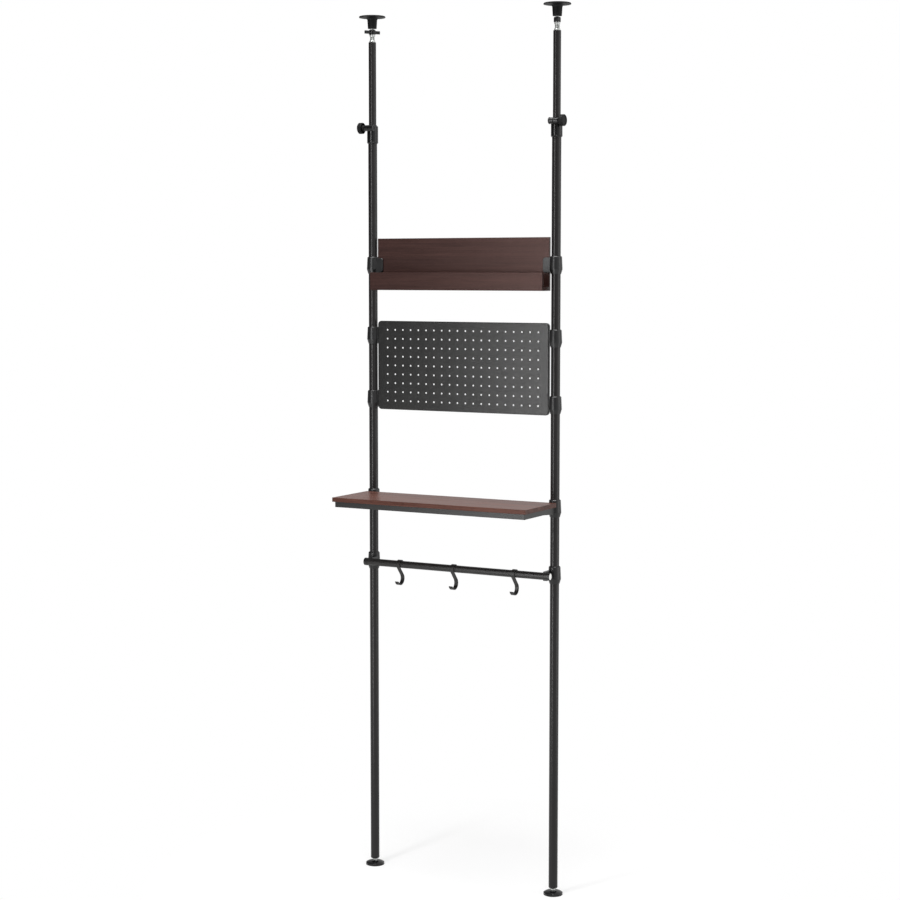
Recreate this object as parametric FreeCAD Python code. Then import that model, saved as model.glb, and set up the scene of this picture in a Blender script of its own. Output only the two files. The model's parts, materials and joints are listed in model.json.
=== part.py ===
"""Tension pole shelf unit: two telescopic poles jammed between floor and ceiling that carry a
tray, a perforated board, a shelf and a hanging rail with hooks.

Lengths are in millimetres. The origin is on the floor, midway between the two pole axes.
+X is to the user's right, -Y is towards the user, +Z is up.
"""

import FreeCAD
import Part
import math
import os

Vector = FreeCAD.Vector
LEFT = -1
RIGHT = 1
SIDES = {"left": LEFT, "right": RIGHT}

# ---- Clearances ----
seat_gap = 0.05         # a piece pushed into another of the same body
turning_gap = 0.1       # radial, a screw or stud turning in its hole
sliding_gap = 0.3       # radial or face to face, pieces that slide past each other

# ---- Poles ----
pole_spacing = 575.0
lower_pole_diameter = 25.0
lower_pole_wall = 1.0
lower_pole_length = 2083.0
upper_pole_diameter = 21.0
upper_pole_wall = 1.2
upper_pole_length = 554.0
upper_pole_exposed = 249.0      # from the lower pole's end to the upper pole's end
bush_flange_height = 4.0
bush_plug_length = 20.0
bush_bore_diameter = 12.0

# ---- Feet ----
foot_diameter = 53.0
foot_height = 12.0
foot_rim_height = 6.0
foot_rubber_thickness = 3.0
foot_rubber_chamfer = 0.8
foot_crown_diameter = 16.0      # flat at the top of the dome
foot_to_pole_gap = 7.0
stud_diameter = 8.0
stud_length = 45.0
stud_flange_diameter = 12.0
stud_flange_thickness = 2.0
stud_hex_width = 13.0
stud_hex_height = 5.0
cap_flange_height = 3.0
cap_chamfer = 1.5
cap_plug_length = 20.0

# ---- Height locks ----
lock_diameter = 31.0
lock_flare_diameter = 32.0
lock_flare_height = 3.0
lock_grip_length = 32.0         # on the lower pole
lock_clamp_length = 20.0        # on the upper pole
lock_shoulder_height = 5.0      # the cone at its upper end
lock_shoulder_width = 3.8
lock_slit_width = 1.2
barrel_diameter = 17.0
barrel_ring_diameter = 18.4
barrel_ring_width = 3.0
barrel_half_length = 14.2
barrel_forward = 18.0           # barrel axis in front of the pole axis
barrel_above_pole_end = 11.0
barrel_chamfer = 0.8
lock_nut_width = 10.0
lock_nut_thickness = 4.6
nut_recess_depth = 5.0
lock_bolt_diameter = 6.0
bolt_head_diameter = 10.0
bolt_head_thickness = 3.0
knob_diameter = 31.0
knob_width = 11.6
knob_neck_diameter = 17.0
knob_neck_length = 5.9
knob_rim_wall = 2.7
knob_cup_depth = 3.6
knob_face_recess = 1.2
knob_grip_count = 16
knob_grip_radius = 1.1

# ---- Ceiling jacks ----
insert_plug_length = 20.0
insert_boss_diameter = 16.4
insert_boss_height = 3.5
insert_cone_height = 1.0
jack_diameter = 14.0
jack_depth = 54.0               # length of the screw inside the pole
jack_exposed = 17.0             # from the pole's end to the flange
jack_flange_diameter = 15.5
jack_flange_height = 5.0
jack_cone_height = 1.5
jack_spindle_diameter = 8.5
wing_hub_diameter = 19.0
wing_hub_height = 13.0
wing_hub_dome = 3.0
wing_span = 49.0
wing_height = 8.8
wing_lift = 1.5                 # underside of the wings above the hub's underside
wing_tip_width = 6.0
wing_root_width = 4.6
wing_edge_chamfer = 0.8
wing_angles = {"left": 60.0, "right": 119.0}
handle_to_pad_gap = 3.0
pad_diameter = 74.0
pad_stem_diameter = 24.6
pad_stem_top_diameter = 27.2
pad_flare_radius = 8.0          # between the stem and the rim
pad_height = 34.0
pad_rim_thickness = 2.1         # at its edge
pad_rim_taper = 1.0             # thicker by this where it meets the flare
pad_socket_depth = 12.0
pad_sheet_diameter = 72.0
pad_sheet_thickness = 1.5

# ---- Collars of the units on the poles ----
collar_height = 48.0
collar_belly_diameter = 35.0
collar_top_diameter = 32.0
collar_foot_diameter = 27.4
collar_cone_height = 13.0
collar_chamfer = 2.0
unit_end_gap = 1.0              # between a collar and the end of what it carries

# ---- Tray ----
tray_below_pole_end = 441.0     # from the lower poles' upper end to the tray's underside
tray_back_height = 144.0
tray_back_thickness = 8.0
tray_back_forward = 4.0         # front face of the back panel in front of the pole plane
tray_lip_height = 49.0
tray_lip_thickness = 8.0
tray_depth = 47.0               # from the pole plane to the front of the lip
tray_board_thickness = 10.0
tray_collar_above_underside = 69.0
tray_tab_width = 18.0
tray_tab_height = 41.0
tray_tab_thickness = 4.0
tray_tab_corner_radius = 8.0
tray_tab_edge = 1.0
tray_edge_round = 0.8
tray_screw_spacing = 30.0

# ---- Perforated board ----
pegboard_below_tray = 87.0      # gap between the tray and the board's top edge
pegboard_height = 250.0
pegboard_front = 5.5            # front face in front of the pole plane
pegboard_sheet = 1.5
pegboard_flange_depth = 9.0
pegboard_corner_radius = 10.0
peg_hole_diameter = 5.0
peg_hole_pitch = 25.0
peg_hole_columns = 20
peg_hole_rows = 9
pegboard_collar_spacing = 180.0
pegboard_collar_drop = 6.0      # middle of the collars below the board's middle
pegboard_arm_thickness = 7.0
pegboard_arm_below_top = 1.0    # between the ends of an arm and of its collar
pegboard_arm_above_foot = 6.0

# ---- Shelf ----
shelf_below_pegboard = 235.0    # from the perforated board's bottom edge to the shelf's top
shelf_overhang = 12.5           # beyond the pole axis at each end
shelf_front = 202.0             # front edge in front of the pole plane
shelf_thickness = 12.0
shelf_edge_round = 1.0
shelf_frame_inset = 6.0
shelf_frame_height = 15.0
shelf_arm_width = 12.5
shelf_arm_back_height = 19.5
shelf_arm_taper_length = 60.0
shelf_frame_wall = 1.5
shelf_rail_depth = 12.0
shelf_rear_rail_offset = 8.0    # behind it, to the back edge of the board
shelf_collar_below_top = 17.0
shelf_lug_reach = 22.0
shelf_tenon_length = 24.0
shelf_screw_spacing = 300.0
shelf_screw_bite = 7.0          # into the board
shelf_access_gap = 0.5          # round a screw's head, where it passes a rail's bottom wall

# ---- Hanging rail ----
rail_below_shelf = 199.5        # from the shelf's top to the rail's axis
rail_forward = 38.0
rail_diameter = 20.0
rail_wall = 1.2
rail_overhang = 6.5             # beyond the pole axis at each end, with its caps
rail_cap_diameter = 21.6
rail_cap_length = 11.0
rail_cap_end_wall = 1.5
rail_cap_window_diameter = 18.0
rail_disc_thickness = 0.8
rail_holder_width = 11.0
rail_holder_height = 25.0
rail_holder_gap = 0.5           # between a holder and the cap beside it

# ---- Hooks ----
hook_places = {"left": -179.0, "middle": -5.5, "right": 184.5}
hook_width = 12.0
hook_thickness = 2.5
hook_overall_height = 71.5
hook_bend_radius = 16.8         # centre line of the lower bend
hook_bend_forward = 2.5         # middle of the lower bend in front of the rail's axis
hook_rear_angle = 35.0          # how far the upper end hangs below the rail's axis, behind it
hook_tip_angle = 27.0           # how far the tip stays below the middle of the lower bend
hook_edge_chamfer = 0.6

# ---- Screws that hold the boards ----
screw_diameter = 4.0
screw_head_diameter = 7.0
screw_head_height = 2.2
screw_tip_margin = 0.5          # left under the tip of a screw in a thin plate

# ---- Derived places ----
half_spacing = pole_spacing / 2
lower_pole_radius = lower_pole_diameter / 2
lower_pole_bore = lower_pole_radius - lower_pole_wall
upper_pole_radius = upper_pole_diameter / 2
upper_pole_bore = upper_pole_radius - upper_pole_wall
cap_underside = foot_height + foot_to_pole_gap
lower_pole_bottom = cap_underside + cap_flange_height
lower_pole_top = lower_pole_bottom + lower_pole_length
upper_pole_top = lower_pole_top + upper_pole_exposed
upper_pole_bottom = upper_pole_top - upper_pole_length
barrel_centre = lower_pole_top + barrel_above_pole_end
jack_flange_underside = upper_pole_top + jack_exposed
wing_hub_underside = jack_flange_underside + jack_flange_height
pad_underside = wing_hub_underside + wing_hub_height + handle_to_pad_gap
pad_top = pad_underside + pad_height
tray_underside = lower_pole_top - tray_below_pole_end
pegboard_top = tray_underside - pegboard_below_tray
pegboard_centre = pegboard_top - pegboard_height / 2
shelf_top = pegboard_top - pegboard_height - shelf_below_pegboard
rail_height = shelf_top - rail_below_shelf
collar_bore = lower_pole_radius + sliding_gap
collar_belly_radius = collar_belly_diameter / 2
unit_half_width = half_spacing - collar_belly_radius - unit_end_gap


# ---- Shape helpers ----
def lathe(outline):
    """Turn a closed outline of (radius, height) points about Z.

    An entry of four numbers is an arc: its middle point, then its end point.
    """
    def place(point):
        return Vector(point[0], 0, point[1])

    edges = []
    last = outline[0]
    for entry in outline[1:] + [outline[0]]:
        end = entry[-2:]
        if len(entry) == 4:
            edges.append(Part.Arc(place(last), place(entry[:2]), place(end)).toShape())
        else:
            edges.append(Part.LineSegment(place(last), place(end)).toShape())
        last = end
    return Part.Face(Part.Wire(edges)).revolve(Vector(0, 0, 0), Vector(0, 0, 1), 360)


def rod(radius, low, high):
    """A cylinder about Z between two heights."""
    return Part.makeCylinder(radius, high - low, Vector(0, 0, low))


def tube(outer, inner, low, high):
    return rod(outer, low, high).cut(rod(inner, low, high))


def hexagon(width, low, high):
    """A hexagonal prism about Z, width across its flats."""
    corner = width / 2 / math.cos(math.pi / 6)
    points = []
    for step in range(7):
        turn = step * math.pi / 3
        points.append(Vector(corner * math.cos(turn), corner * math.sin(turn), low))
    return Part.Face(Part.makePolygon(points)).extrude(Vector(0, 0, high - low))


def block(low, high):
    """A box between two opposite corners."""
    size = [b - a for a, b in zip(low, high)]
    return Part.makeBox(*size, Vector(*low))


def along_x(shape):
    """Lay a shape made about Z down along X."""
    return shape.rotated(Vector(0, 0, 0), Vector(0, 1, 0), 90)


def along_y(shape):
    """Lay a shape made about Z down along -Y, towards the user."""
    return shape.rotated(Vector(0, 0, 0), Vector(1, 0, 0), 90)


def moved(shape, x=0.0, y=0.0, z=0.0):
    return shape.translated(Vector(x, y, z))


def on_side(shape, side):
    """Place a shape made about the right-hand pole's axis on the pole of that side."""
    if side == LEFT:
        shape = shape.mirror(Vector(0, 0, 0), Vector(1, 0, 0))
    return moved(shape, x=side * half_spacing)


def rounded(shape, radius, direction):
    """Round the straight edges that run along a direction."""
    edges = []
    for edge in shape.Edges:
        tangent = edge.tangentAt(edge.FirstParameter)
        if isinstance(edge.Curve, Part.Line) and abs(tangent.dot(direction)) > 0.999:
            edges.append(edge)
    return shape.makeFillet(radius, edges)


def export(name, *shapes):
    """Write one node; several shapes stay separate solids."""
    shape = shapes[0] if len(shapes) == 1 else Part.makeCompound(list(shapes))
    shape.exportStep(f"parts/{name}.step")


def screw(length):
    """A pan-head screw about Z: the head sits on z = 0 and the shank points down."""
    head = screw_head_diameter / 2
    dome = lathe([
        (0, 0),
        (head, 0),
        (head, 0.35 * screw_head_height),
        (0.8 * head, 0.85 * screw_head_height, 0.4 * head, screw_head_height),
        (0, screw_head_height),
    ])
    return dome.fuse(rod(screw_diameter / 2, -length, 0)).removeSplitter()


def screw_hole(low, high):
    return rod(screw_diameter / 2 + seat_gap, low, high)


# ---- Feet ----
def foot_rubber():
    radius = foot_diameter / 2
    return lathe([
        (0, 0),
        (radius - foot_rubber_chamfer, 0),
        (radius, foot_rubber_chamfer),
        (radius, foot_rubber_thickness),
        (0, foot_rubber_thickness),
    ])


def foot_pad():
    """Domed foot with a closed pocket in which the stud's flange turns."""
    radius = foot_diameter / 2
    pocket = stud_flange_diameter / 2 + sliding_gap
    pocket_top = foot_rubber_thickness + stud_flange_thickness + 2 * sliding_gap
    neck = stud_diameter / 2 + turning_gap
    dome_rise = foot_height - foot_rim_height
    return lathe([
        (pocket, foot_rubber_thickness),
        (radius, foot_rubber_thickness),
        (radius, foot_rim_height),
        (0.72 * radius, foot_rim_height + 0.66 * dome_rise, foot_crown_diameter / 2, foot_height),
        (neck, foot_height),
        (neck, pocket_top),
        (pocket, pocket_top),
    ])


def foot_stud():
    """Levelling stud: flange in the foot, hexagon for the spanner, thread up into the pole."""
    bottom = foot_rubber_thickness + sliding_gap
    hex_bottom = foot_height + sliding_gap
    flange = rod(stud_flange_diameter / 2, bottom, bottom + stud_flange_thickness)
    shank = rod(stud_diameter / 2, bottom, bottom + stud_length)
    nut = hexagon(stud_hex_width, hex_bottom, hex_bottom + stud_hex_height)
    return flange.fuse([shank, nut]).removeSplitter()


def pole_bottom_cap():
    radius = lower_pole_radius
    plug = lower_pole_bore - seat_gap
    thread = stud_diameter / 2 + turning_gap
    plug_top = lower_pole_bottom + cap_plug_length
    return lathe([
        (thread, cap_underside),
        (radius - cap_chamfer, cap_underside),
        (radius, cap_underside + cap_chamfer),
        (radius, lower_pole_bottom),
        (plug, lower_pole_bottom),
        (plug, plug_top),
        (thread, plug_top),
    ])


# ---- Poles ----
def lower_pole():
    return tube(lower_pole_radius, lower_pole_bore, lower_pole_bottom, lower_pole_top)


def upper_pole():
    return tube(upper_pole_radius, upper_pole_bore, upper_pole_bottom, upper_pole_top)


def guide_bush():
    """End plug of the upper pole; its flange keeps the pole central in the lower one."""
    flange = lower_pole_bore - sliding_gap
    plug = upper_pole_bore - seat_gap
    bore = bush_bore_diameter / 2
    return lathe([
        (bore, upper_pole_bottom - bush_flange_height),
        (flange, upper_pole_bottom - bush_flange_height),
        (flange, upper_pole_bottom),
        (plug, upper_pole_bottom),
        (plug, upper_pole_bottom + bush_plug_length),
        (bore, upper_pole_bottom + bush_plug_length),
    ])


def pole_top_insert():
    """Threaded insert in the end of the upper pole, with a boss above it."""
    plug = upper_pole_bore - seat_gap
    boss = insert_boss_diameter / 2
    thread = jack_diameter / 2 + turning_gap
    boss_top = upper_pole_top + insert_boss_height
    return lathe([
        (thread, upper_pole_top - insert_plug_length),
        (plug, upper_pole_top - insert_plug_length),
        (plug, upper_pole_top),
        (boss, upper_pole_top),
        (boss, boss_top),
        (thread + 0.5 * (boss - thread), boss_top + insert_cone_height),
        (thread, boss_top + insert_cone_height),
    ])


# ---- Height locks ----
def on_barrel(shape):
    """Place a shape made about Z, outboard end up, on the cross barrel's axis."""
    return moved(along_x(shape), y=-barrel_forward, z=barrel_centre)


def lock_barrel():
    """The cross barrel, with a raised ring at its inboard end."""
    radius = barrel_diameter / 2
    ring = barrel_ring_diameter / 2
    end = barrel_half_length
    ring_end = -end + barrel_ring_width
    return on_barrel(lathe([
        (0, -end),
        (ring - barrel_chamfer, -end),
        (ring, -end + barrel_chamfer),
        (ring, ring_end),
        (radius, ring_end + barrel_chamfer),
        (radius, end - barrel_chamfer),
        (radius - barrel_chamfer, end),
        (0, end),
    ]))


def lock_collar():
    """Collar fixed on the lower pole; its slit top is pinched round the upper pole."""
    bottom = lower_pole_top - lock_grip_length
    top = lower_pole_top + lock_clamp_length
    radius = lock_diameter / 2
    flare = lock_flare_diameter / 2
    grip = lower_pole_radius + seat_gap
    clamp = upper_pole_radius + sliding_gap
    body = lathe([
        (0, bottom),
        (grip + 0.2 * (flare - grip), bottom),
        (flare, bottom + lock_flare_height),
        (radius, bottom + 1.5 * lock_flare_height),
        (radius, top - lock_shoulder_height),
        (radius - lock_shoulder_width, top),
        (0, top),
    ])
    bolt_hole = rod(lock_bolt_diameter / 2 + turning_gap, -barrel_half_length, barrel_half_length)
    recess = hexagon(
        lock_nut_width + 2 * seat_gap, -barrel_half_length, -barrel_half_length + nut_recess_depth)
    slit_front = -barrel_forward - barrel_ring_diameter / 2
    slit = block((-lock_slit_width / 2, slit_front, lower_pole_top), (lock_slit_width / 2, 0, top))
    cuts = [
        rod(grip, bottom, lower_pole_top),
        rod(clamp, lower_pole_top, top),
        on_barrel(bolt_hole),
        on_barrel(recess),
        slit,
    ]
    return body.fuse(lock_barrel()).cut(cuts).removeSplitter()


def lock_nut():
    recess_floor = -barrel_half_length + nut_recess_depth
    nut = hexagon(lock_nut_width, recess_floor - lock_nut_thickness, recess_floor)
    thread = lock_bolt_diameter / 2 + turning_gap
    return on_barrel(nut.cut(rod(thread, recess_floor - lock_nut_thickness, recess_floor)))


def knob_face():
    """Where the knob's outer face lies, outboard of the pole axis."""
    return barrel_half_length + sliding_gap + knob_neck_length + knob_width


def bolt_head_low():
    """Inner side of the bolt's head, which is moulded into the knob."""
    return knob_face() - knob_face_recess - 1.5 * bolt_head_thickness


def lock_bolt():
    shank_start = -barrel_half_length + (nut_recess_depth - lock_nut_thickness)
    head_low = bolt_head_low()
    shank = rod(lock_bolt_diameter / 2, shank_start, head_low)
    head = rod(bolt_head_diameter / 2, head_low, head_low + bolt_head_thickness)
    return on_barrel(shank.fuse(head).removeSplitter())


def lock_knob():
    """Cup-shaped knob: a neck, a rim with shallow grips, and a dished outer face."""
    start = barrel_half_length + sliding_gap
    rim_start = start + knob_neck_length
    face = knob_face()
    radius = knob_diameter / 2
    neck = knob_neck_diameter / 2
    rim_inside = radius - knob_rim_wall
    bore = lock_bolt_diameter / 2 + seat_gap
    head = bolt_head_diameter / 2 + seat_gap
    head_low = bolt_head_low()
    head_high = head_low + bolt_head_thickness
    dish = face - knob_face_recess
    knob = lathe([
        (bore, start),
        (neck - 1.0, start),
        (neck, start + 1.0),
        (neck, rim_start + knob_cup_depth),
        (rim_inside, rim_start + knob_cup_depth),
        (rim_inside, rim_start),
        (radius - 0.5, rim_start),
        (radius, rim_start + 0.8),
        (radius, face - 1.0),
        (radius - 1.0, face),
        (rim_inside, face),
        (rim_inside - 1.0, dish),
        (0, dish),
        (0, head_high),
        (head, head_high),
        (head, head_low),
        (bore, head_low),
    ])
    grips = []
    for step in range(knob_grip_count):
        turn = 2 * math.pi * step / knob_grip_count
        grip = rod(knob_grip_radius, rim_start, face)
        reach = radius + 0.6 * knob_grip_radius
        grips.append(moved(grip, x=reach * math.cos(turn), y=reach * math.sin(turn)))
    return on_barrel(knob.cut(grips))


# ---- Ceiling jacks ----
def jack_screw():
    """Screw in the pole's insert, with a flange under the handle and a spindle in the pad."""
    radius = jack_diameter / 2
    flange = jack_flange_diameter / 2
    spindle = jack_spindle_diameter / 2
    bottom = upper_pole_top - jack_depth
    top = pad_underside + pad_socket_depth - sliding_gap
    return lathe([
        (0, bottom),
        (radius, bottom),
        (radius, jack_flange_underside - jack_cone_height),
        (flange, jack_flange_underside),
        (flange, wing_hub_underside),
        (spindle, wing_hub_underside),
        (spindle, top),
        (0, top),
    ])


def wing_handle(angle):
    """Domed hub with two flat wings, turned by hand."""
    hub_radius = wing_hub_diameter / 2
    bottom = wing_hub_underside
    top = bottom + wing_hub_height
    bore = jack_spindle_diameter / 2 + seat_gap
    crown = 0.5 * (hub_radius + bore)
    hub = lathe([
        (0, bottom),
        (hub_radius, bottom),
        (hub_radius, top - wing_hub_dome),
        (0.9 * hub_radius, top - 0.25 * wing_hub_dome, crown, top),
        (0, top),
    ])
    wing_bottom = bottom + wing_lift
    tip_centre = wing_span / 2 - wing_tip_width / 2
    handle = hub
    for sign in (LEFT, RIGHT):
        outline = Part.Wire([
            Part.LineSegment(
                Vector(0, -wing_root_width / 2, 0),
                Vector(sign * tip_centre, -wing_tip_width / 2, 0)).toShape(),
            Part.Arc(
                Vector(sign * tip_centre, -wing_tip_width / 2, 0),
                Vector(sign * wing_span / 2, 0, 0),
                Vector(sign * tip_centre, wing_tip_width / 2, 0)).toShape(),
            Part.LineSegment(
                Vector(sign * tip_centre, wing_tip_width / 2, 0),
                Vector(0, wing_root_width / 2, 0)).toShape(),
            Part.LineSegment(
                Vector(0, wing_root_width / 2, 0),
                Vector(0, -wing_root_width / 2, 0)).toShape(),
        ])
        wing = moved(Part.Face(outline), z=wing_bottom).extrude(Vector(0, 0, wing_height))
        level = [
            edge for edge in wing.Edges
            if abs(edge.Vertexes[0].Z - edge.Vertexes[-1].Z) < 0.001
            and abs(edge.CenterOfMass.x) > hub_radius / 2
        ]
        handle = handle.fuse(wing.makeChamfer(wing_edge_chamfer, level))
    handle = handle.cut(rod(bore, bottom, top)).removeSplitter()
    return handle.rotated(Vector(0, 0, 0), Vector(0, 0, 1), angle)


def ceiling_pad():
    """Trumpet-shaped pad whose stem turns freely on the jack's spindle."""
    rim = pad_diameter / 2
    stem = pad_stem_diameter / 2
    stem_top = pad_stem_top_diameter / 2
    socket = jack_spindle_diameter / 2 + turning_gap
    socket_top = pad_underside + pad_socket_depth
    face = pad_top - pad_sheet_thickness
    rim_low = face - pad_rim_thickness
    flare_top = rim_low - pad_rim_taper
    flare_start = flare_top - pad_flare_radius
    near = pad_flare_radius * (1 - math.sqrt(0.5))
    return lathe([
        (socket, pad_underside),
        (stem, pad_underside),
        (stem_top, flare_start),
        (stem_top + near, flare_top - near, stem_top + pad_flare_radius, flare_top),
        (rim, rim_low),
        (rim, face),
        (0, face),
        (0, socket_top),
        (socket, socket_top),
    ])


def ceiling_pad_sheet():
    return rod(pad_sheet_diameter / 2, pad_top - pad_sheet_thickness, pad_top)


# ---- Collars ----
def collar_blank(centre):
    """The outer form of a collar, before its bore is cut."""
    bottom = centre - collar_height / 2
    top = centre + collar_height / 2
    return lathe([
        (0, bottom),
        (collar_foot_diameter / 2, bottom),
        (collar_belly_radius, bottom + collar_cone_height),
        (collar_top_diameter / 2, top - collar_chamfer),
        (collar_top_diameter / 2 - collar_chamfer, top),
        (0, top),
    ])


def collar_with(centre, additions, cuts=()):
    """A collar with what stands out of it, bored for the pole."""
    bore = rod(collar_bore, centre - collar_height, centre + collar_height)
    return collar_blank(centre).fuse(additions).cut([bore] + list(cuts)).removeSplitter()


# ---- Tray ----
tray_collar_centre = tray_underside + tray_collar_above_underside
tray_screw_x = unit_half_width - tray_tab_width / 2
tray_back_rear = tray_back_thickness - tray_back_forward


def tray_screw_holes(x, low_y, high_y):
    """Holes along Y for the two screws at one end of the tray."""
    holes = []
    for step in (-0.5, 0.5):
        height = tray_collar_centre + step * tray_screw_spacing
        holes.append(moved(along_y(screw_hole(-high_y, -low_y)), x=x, z=height))
    return holes


def tray_back_panel():
    low = (-unit_half_width, -tray_back_forward, tray_underside)
    high = (unit_half_width, tray_back_rear, tray_underside + tray_back_height)
    panel = rounded(block(low, high), tray_edge_round, Vector(1, 0, 0))
    holes = []
    for side in (LEFT, RIGHT):
        holes += tray_screw_holes(side * tray_screw_x, -tray_back_forward, tray_back_rear)
    return panel.cut(holes)


def tray_bottom_board():
    return block(
        (-unit_half_width, -tray_depth + tray_lip_thickness, tray_underside),
        (unit_half_width, -tray_back_forward, tray_underside + tray_board_thickness))


def tray_front_lip():
    low = (-unit_half_width, -tray_depth, tray_underside)
    high = (unit_half_width, -tray_depth + tray_lip_thickness, tray_underside + tray_lip_height)
    return rounded(block(low, high), tray_edge_round, Vector(1, 0, 0))


def tray_collar():
    """Collar with a flat tab, its free corners rounded, that overlaps the back panel's front."""
    inner = unit_half_width - tray_tab_width - half_spacing
    front = -tray_back_forward - tray_tab_thickness
    tab = block(
        (inner, front, tray_collar_centre - tray_tab_height / 2),
        (0, -tray_back_forward, tray_collar_centre + tray_tab_height / 2))
    corners = [
        edge for edge in tab.Edges
        if edge.CenterOfMass.x < inner + 0.001
        and abs(edge.Vertexes[0].Y - edge.Vertexes[-1].Y) > 0.001
    ]
    tab = tab.makeFillet(tray_tab_corner_radius, corners)
    rim = [
        edge for edge in tab.Edges
        if max(vertex.Y for vertex in edge.Vertexes) < front + 0.001
        and edge.CenterOfMass.x < -0.001
    ]
    tab = tab.makeChamfer(tray_tab_edge, rim)
    holes = tray_screw_holes(
        tray_screw_x - half_spacing, front + screw_tip_margin, -tray_back_forward)
    return collar_with(tray_collar_centre, [tab], holes)


def tray_screws():
    """Screws from behind, through the panel into the collars' tabs."""
    length = tray_back_thickness + tray_tab_thickness - 2 * screw_tip_margin
    screws = []
    for side in (LEFT, RIGHT):
        for step in (-0.5, 0.5):
            height = tray_collar_centre + step * tray_screw_spacing
            facing_back = along_y(screw(length)).rotated(Vector(0, 0, 0), Vector(0, 0, 1), 180)
            screws.append(
                moved(facing_back, x=side * tray_screw_x, y=tray_back_rear, z=height))
    return screws


# ---- Perforated board ----
pegboard_back = -pegboard_front + pegboard_flange_depth
pegboard_half = unit_half_width
pegboard_collar_heights = {
    "upper": pegboard_centre - pegboard_collar_drop + pegboard_collar_spacing / 2,
    "lower": pegboard_centre - pegboard_collar_drop - pegboard_collar_spacing / 2,
}
pegboard_screw_y = (pegboard_back - pegboard_front + pegboard_sheet) / 2


def pegboard_blank(inset, low_y, high_y):
    """A slab with the board's rounded outline, drawn in by an inset."""
    slab = block(
        (-pegboard_half + inset, low_y, pegboard_centre - pegboard_height / 2 + inset),
        (pegboard_half - inset, high_y, pegboard_centre + pegboard_height / 2 - inset))
    return rounded(slab, pegboard_corner_radius - inset, Vector(0, 1, 0))


def pegboard_panel():
    """One bent and perforated steel sheet, its edges folded back."""
    sheet_back = -pegboard_front + pegboard_sheet
    sheet = pegboard_blank(0, -pegboard_front, pegboard_back)
    hollow = pegboard_blank(pegboard_sheet, sheet_back, pegboard_back)
    drills = []
    for column in range(peg_hole_columns):
        for row in range(peg_hole_rows):
            x = (column - (peg_hole_columns - 1) / 2) * peg_hole_pitch
            z = pegboard_centre + (row - (peg_hole_rows - 1) / 2) * peg_hole_pitch
            drill = along_y(rod(peg_hole_diameter / 2, -sheet_back, pegboard_front))
            drills.append(moved(drill, x=x, z=z))
    for height in pegboard_collar_heights.values():
        hole = along_x(screw_hole(-pegboard_half, -pegboard_half + pegboard_sheet))
        drills.append(moved(hole, y=pegboard_screw_y, z=height))
        hole = along_x(screw_hole(pegboard_half - pegboard_sheet, pegboard_half))
        drills.append(moved(hole, y=pegboard_screw_y, z=height))
    return sheet.cut(hollow).cut(drills)


def pegboard_collar(height):
    """Collar with a short arm that meets the folded edge of the board."""
    middle = (pegboard_back - pegboard_front) / 2
    inner = pegboard_half - half_spacing
    arm = block(
        (inner, middle - pegboard_arm_thickness / 2,
         height - collar_height / 2 + pegboard_arm_above_foot),
        (0, middle + pegboard_arm_thickness / 2,
         height + collar_height / 2 - pegboard_arm_below_top))
    hole = moved(along_x(screw_hole(inner, -collar_bore)), y=pegboard_screw_y, z=height)
    return collar_with(height, [arm], [hole])


def pegboard_screws():
    """Screws from inside the folded edges, outwards into the collars' arms."""
    length = half_spacing - collar_bore - screw_tip_margin - pegboard_half + pegboard_sheet
    screws = []
    for height in pegboard_collar_heights.values():
        for side in (LEFT, RIGHT):
            piece = along_x(screw(length))
            if side == RIGHT:
                piece = piece.rotated(Vector(0, 0, 0), Vector(0, 0, 1), 180)
            x = side * (pegboard_half - pegboard_sheet)
            screws.append(moved(piece, x=x, y=pegboard_screw_y, z=height))
    return screws


# ---- Shelf ----
shelf_underside = shelf_top - shelf_thickness
shelf_back = collar_belly_radius + sliding_gap
shelf_collar_centre = shelf_top - shelf_collar_below_top
shelf_half_width = half_spacing + shelf_overhang
arm_outer = shelf_half_width - shelf_frame_inset
arm_inner = arm_outer - shelf_arm_width
frame_front = -shelf_front + shelf_frame_inset
frame_bottom = shelf_underside - shelf_frame_height
front_rail_y = frame_front + shelf_rail_depth / 2
rear_rail_y = -shelf_back - shelf_rear_rail_offset - shelf_rail_depth / 2
shelf_screw_seat = shelf_underside - shelf_frame_wall


def shelf_board():
    low = (-shelf_half_width, -shelf_front, shelf_underside)
    high = (shelf_half_width, -shelf_back, shelf_top)
    board = rounded(block(low, high), shelf_edge_round, Vector(1, 0, 0))
    holes = []
    for y in (front_rail_y, rear_rail_y):
        for sign in (LEFT, RIGHT):
            hole = screw_hole(shelf_underside, shelf_underside + shelf_screw_bite)
            holes.append(moved(hole, x=sign * shelf_screw_spacing / 2, y=y))
    return board.cut(holes)


def shelf_rail(y):
    """A rectangular tube between the side arms, open below the screws that hold the board."""
    half = shelf_rail_depth / 2
    wall = shelf_frame_wall
    outside = block((-arm_inner, y - half, frame_bottom), (arm_inner, y + half, shelf_underside))
    inside = block(
        (-arm_inner, y - half + wall, frame_bottom + wall),
        (arm_inner, y + half - wall, shelf_underside - wall))
    access = rod(screw_head_diameter / 2 + shelf_access_gap, frame_bottom, frame_bottom + wall)
    holes = []
    for sign in (LEFT, RIGHT):
        x = sign * shelf_screw_spacing / 2
        holes.append(moved(access, x=x, y=y))
        holes.append(moved(screw_hole(shelf_screw_seat, shelf_underside), x=x, y=y))
    return outside.cut([inside] + holes)


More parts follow.
